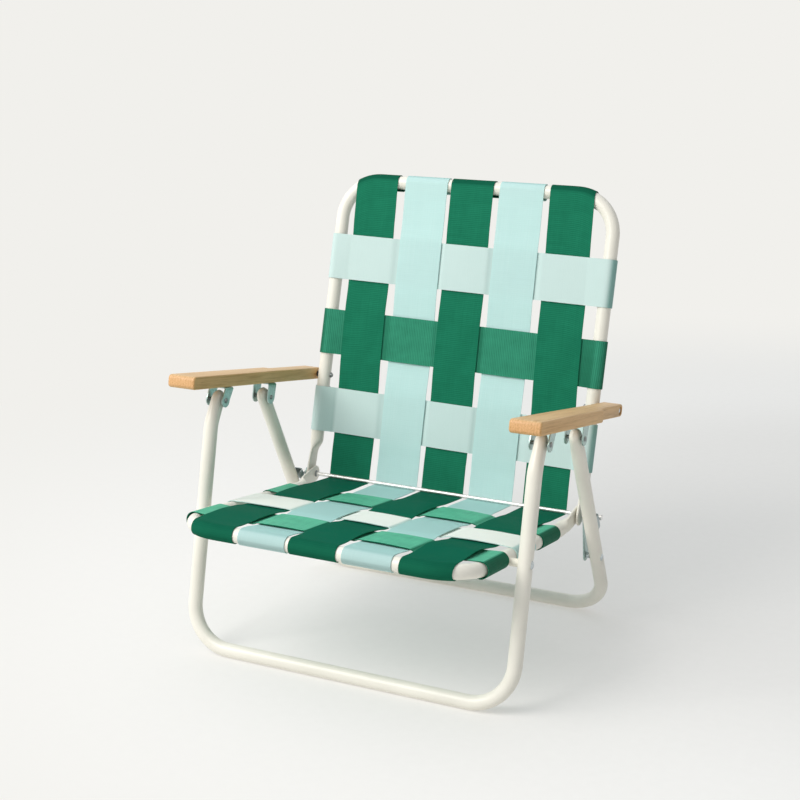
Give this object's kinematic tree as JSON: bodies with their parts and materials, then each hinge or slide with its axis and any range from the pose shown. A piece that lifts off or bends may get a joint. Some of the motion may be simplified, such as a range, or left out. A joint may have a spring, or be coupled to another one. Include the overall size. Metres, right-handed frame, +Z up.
{
  "type": "folding webbed lawn chair",
  "caption": "Low folding lawn chair with a cream tube frame, green and mint woven webbing and flat wooden arms; back, legs, arms and links fold together.",
  "frame": {"origin": "On the floor under the middle of the front floor bar.", "axes": "+Z up, the chair faces -Y, +X is the sitter's left."},
  "size_m": [0.599, 0.5922, 0.6986],
  "materials": {
    "cream_tube": "satin cream paint",
    "dark_green_webbing": "woven, ribbed",
    "mint_webbing": "woven, ribbed",
    "mid_green_webbing": "woven, ribbed",
    "pale_webbing": "woven, ribbed",
    "wood_arm": "clear-varnished light wood",
    "black_washer": "matte black",
    "cream_plastic": "moulded, satin",
    "zinc_steel": "bright zinc plate"
  },
  "bodies": {
    "seat": {"seat_frame": "cream_tube", "hinge_rod": "zinc_steel", "rod_cap_left": "zinc_steel", "rod_cap_right": "zinc_steel", "seat_sleeve_left": "cream_plastic", "seat_sleeve_right": "cream_plastic", "seat_bolt_left": "zinc_steel", "seat_bolt_right": "zinc_steel", "seat_strap_1": "dark_green_webbing", "seat_strap_2": "mint_webbing", "seat_strap_3": "dark_green_webbing", "seat_strap_4": "mint_webbing", "seat_strap_5": "dark_green_webbing", "seat_cross_rear": "mid_green_webbing", "seat_cross_middle": "pale_webbing", "seat_cross_front": "mid_green_webbing"},
    "back": {"back_frame": "cream_tube", "back_strap_1": "dark_green_webbing", "back_strap_2": "mint_webbing", "back_strap_3": "dark_green_webbing", "back_strap_4": "mint_webbing", "back_strap_5": "dark_green_webbing", "back_cross_bottom": "mint_webbing", "back_cross_middle": "mid_green_webbing", "back_cross_top": "mint_webbing"},
    "front_legs": {"front_leg_frame": "cream_tube"},
    "rear_legs": {"rear_leg_frame": "cream_tube", "link_bolt_left": "zinc_steel", "link_bolt_right": "zinc_steel", "catch_left": "zinc_steel", "catch_right": "zinc_steel"},
    "arms": {"arm_left": "wood_arm", "arm_right": "wood_arm", "arm_bolt_left": "zinc_steel", "arm_bolt_right": "zinc_steel", "arm_washer_left": "black_washer", "arm_washer_right": "black_washer", "arm_cap_nut_left": "zinc_steel", "arm_cap_nut_right": "zinc_steel", "clevis_front_left": "zinc_steel", "clevis_front_right": "zinc_steel", "clevis_rear_left": "zinc_steel", "clevis_rear_right": "zinc_steel", "clevis_front_rivet_left": "zinc_steel", "clevis_front_rivet_right": "zinc_steel", "clevis_rear_rivet_left": "zinc_steel", "clevis_rear_rivet_right": "zinc_steel"},
    "links": {"link_left": "zinc_steel", "link_right": "zinc_steel"}
  },
  "joints": [
    {"name": "back_fold", "type": "hinge", "parent": "seat", "child": "back", "pos_m": [0, 0.352, 0.1925], "axis": [1, 0, 0], "range_deg": [0, 84]},
    {"name": "front_leg_swing", "type": "hinge", "parent": "seat", "child": "front_legs", "pos_m": [0, 0.047, 0.2175], "axis": [1, 0, 0], "range_deg": [0, 84]},
    {"name": "arm_swing", "type": "hinge", "parent": "back", "child": "arms", "pos_m": [0, 0.3985, 0.3585], "axis": [1, 0, 0], "range_deg": [-84, 0]},
    {"name": "rear_leg_swing", "type": "hinge", "parent": "arms", "child": "rear_legs", "pos_m": [0, 0.23685, 0.35449], "axis": [1, 0, 0], "range_deg": [0, 44.65]},
    {"name": "link_swing", "type": "hinge", "parent": "seat", "child": "links", "pos_m": [0, 0.352, 0.1925], "axis": [1, 0, 0], "range_deg": [-84.26, 0]}
  ],
  "couplings": [
    {"joint": "front_leg_swing", "follows": "back_fold", "ratio": 1},
    {"joint": "arm_swing", "follows": "back_fold", "ratio": -1},
    {"joint": "rear_leg_swing", "follows": "back_fold", "ratio": 0.5315},
    {"joint": "link_swing", "follows": "back_fold", "ratio": -1.0031}
  ]
}
